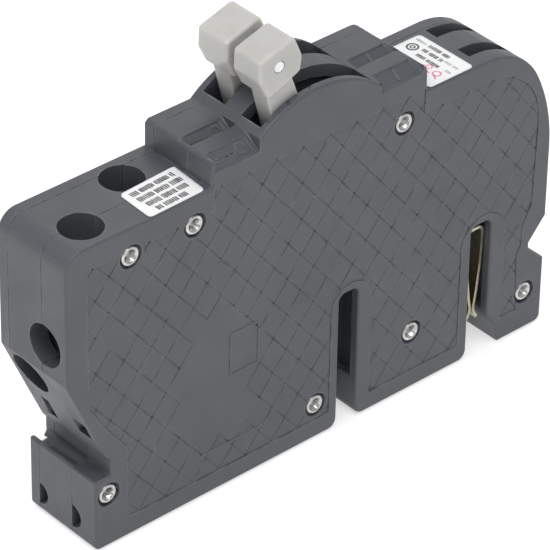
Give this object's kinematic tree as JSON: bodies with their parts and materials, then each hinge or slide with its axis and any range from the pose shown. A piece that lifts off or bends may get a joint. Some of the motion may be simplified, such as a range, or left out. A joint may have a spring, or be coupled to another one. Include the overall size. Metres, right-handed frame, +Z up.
{
  "type": "circuit breaker",
  "caption": "Plug-in twin-pole circuit breaker: a riveted moulded case with tied toggle handles, bus-bar clips in slots below and screw clamp wire terminals at one end.",
  "frame": {"origin": "centre of the object's bounding box, on the plane of the case's feet", "axes": "+X along the case from the wire terminals to the bus-bar clips, +Y across its thickness from the near pole to the far pole, +Z up towards the handles"},
  "size_m": [0.12, 0.019, 0.0915],
  "materials": {
    "case_plastic": "fine satin texture, mould marks",
    "handle_plastic": "smooth, slightly translucent off-white",
    "pin_plastic": "smooth white",
    "nickel": "bright nickel plate",
    "jaw_brass": "dull olive brass, bright sheared edges",
    "strap_brass": "rolled brass",
    "copper": "plain copper",
    "steel": "zinc plated",
    "contact_silver": "satin silver alloy",
    "fibre": "dry vulcanised fibre",
    "bimetal_strip": "rolled strip",
    "label_paper": "matt white paper"
  },
  "bodies": {
    "case": {"near_cover": "case_plastic", "middle_case": "case_plastic", "far_cover": "case_plastic", "rivet_1": "nickel", "rivet_2": "nickel", "rivet_3": "nickel", "rivet_4": "nickel", "rivet_5": "nickel", "rivet_6": "nickel", "rivet_7": "nickel", "terminal_label": "label_paper", "rating_label": "label_paper", "handle_pivot_pin": "steel", "near_line_jaw": "jaw_brass", "far_line_jaw": "jaw_brass", "near_line_strap": "strap_brass", "far_line_strap": "strap_brass", "near_fixed_contact": "contact_silver", "far_fixed_contact": "contact_silver", "near_arc_chute": "fibre", "far_arc_chute": "fibre", "near_bimetal": "bimetal_strip", "far_bimetal": "bimetal_strip", "near_magnet_yoke": "steel", "far_magnet_yoke": "steel", "near_braid": "copper", "far_braid": "copper", "near_load_strap": "copper", "far_load_strap": "copper", "near_calibration_screw": "nickel", "far_calibration_screw": "nickel"},
    "handle": {"near_handle": "handle_plastic", "far_handle": "handle_plastic", "handle_tie_pin": "pin_plastic"},
    "near_arm": {"near_contact_arm": "copper", "near_moving_contact": "contact_silver", "near_toggle_spring": "steel"},
    "far_arm": {"far_contact_arm": "copper", "far_moving_contact": "contact_silver", "far_toggle_spring": "steel"},
    "trip": {"trip_bar": "fibre", "near_armature": "steel", "far_armature": "steel"},
    "near_latch": {"near_cradle": "strap_brass"},
    "far_latch": {"far_cradle": "strap_brass"},
    "near_screw": {"near_clamp_screw": "nickel"},
    "far_screw": {"far_clamp_screw": "nickel"},
    "near_cage": {"near_clamp_cage": "steel"},
    "far_cage": {"far_clamp_cage": "steel"}
  },
  "joints": [
    {"name": "handle_swing", "type": "hinge", "parent": "case", "child": "handle", "pos_m": [-0.0007, 0, 0.057], "axis": [0, 1, 0], "range_deg": [0, 38]},
    {"name": "near_arm_swing", "type": "hinge", "parent": "case", "child": "near_arm", "pos_m": [-0.002, 0, 0.044], "axis": [0, 1, 0], "range_deg": [0, 12.5]},
    {"name": "far_arm_swing", "type": "hinge", "parent": "case", "child": "far_arm", "pos_m": [-0.002, 0, 0.044], "axis": [0, 1, 0], "range_deg": [0, 12.5]},
    {"name": "trip_swing", "type": "hinge", "parent": "case", "child": "trip", "pos_m": [-0.0127, 0, 0.015], "axis": [0, 1, 0], "range_deg": [-4, 0], "stiffness_Nm_per_rad": 0.002},
    {"name": "near_latch_swing", "type": "hinge", "parent": "case", "child": "near_latch", "pos_m": [-0.008, 0, 0.0365], "axis": [0, 1, 0], "range_deg": [0, 12]},
    {"name": "far_latch_swing", "type": "hinge", "parent": "case", "child": "far_latch", "pos_m": [-0.008, 0, 0.0365], "axis": [0, 1, 0], "range_deg": [0, 12]},
    {"name": "near_screw_turn", "type": "hinge", "parent": "case", "child": "near_screw", "pos_m": [-0.0515, -0.0035, 0.0465], "axis": [0, 0, -1], "range_deg": [0, 1080]},
    {"name": "far_screw_turn", "type": "hinge", "parent": "case", "child": "far_screw", "pos_m": [-0.0363, 0.0035, 0.0354], "axis": [0, 0, -1], "range_deg": [0, 1080]},
    {"name": "near_cage_rise", "type": "slide", "parent": "case", "child": "near_cage", "axis": [0, 0, 1], "range_m": [0, 0.0024]},
    {"name": "far_cage_rise", "type": "slide", "parent": "case", "child": "far_cage", "axis": [0, 0, 1], "range_m": [0, 0.0024]}
  ],
  "couplings": [
    {"joint": "near_arm_swing", "follows": "handle_swing", "ratio": 0.32895},
    {"joint": "far_arm_swing", "follows": "handle_swing", "ratio": 0.32895},
    {"joint": "far_latch_swing", "follows": "near_latch_swing", "ratio": 1},
    {"joint": "near_screw_turn", "follows": "near_cage_rise", "rad_per_m": 7854},
    {"joint": "far_screw_turn", "follows": "far_cage_rise", "rad_per_m": 7854}
  ]
}
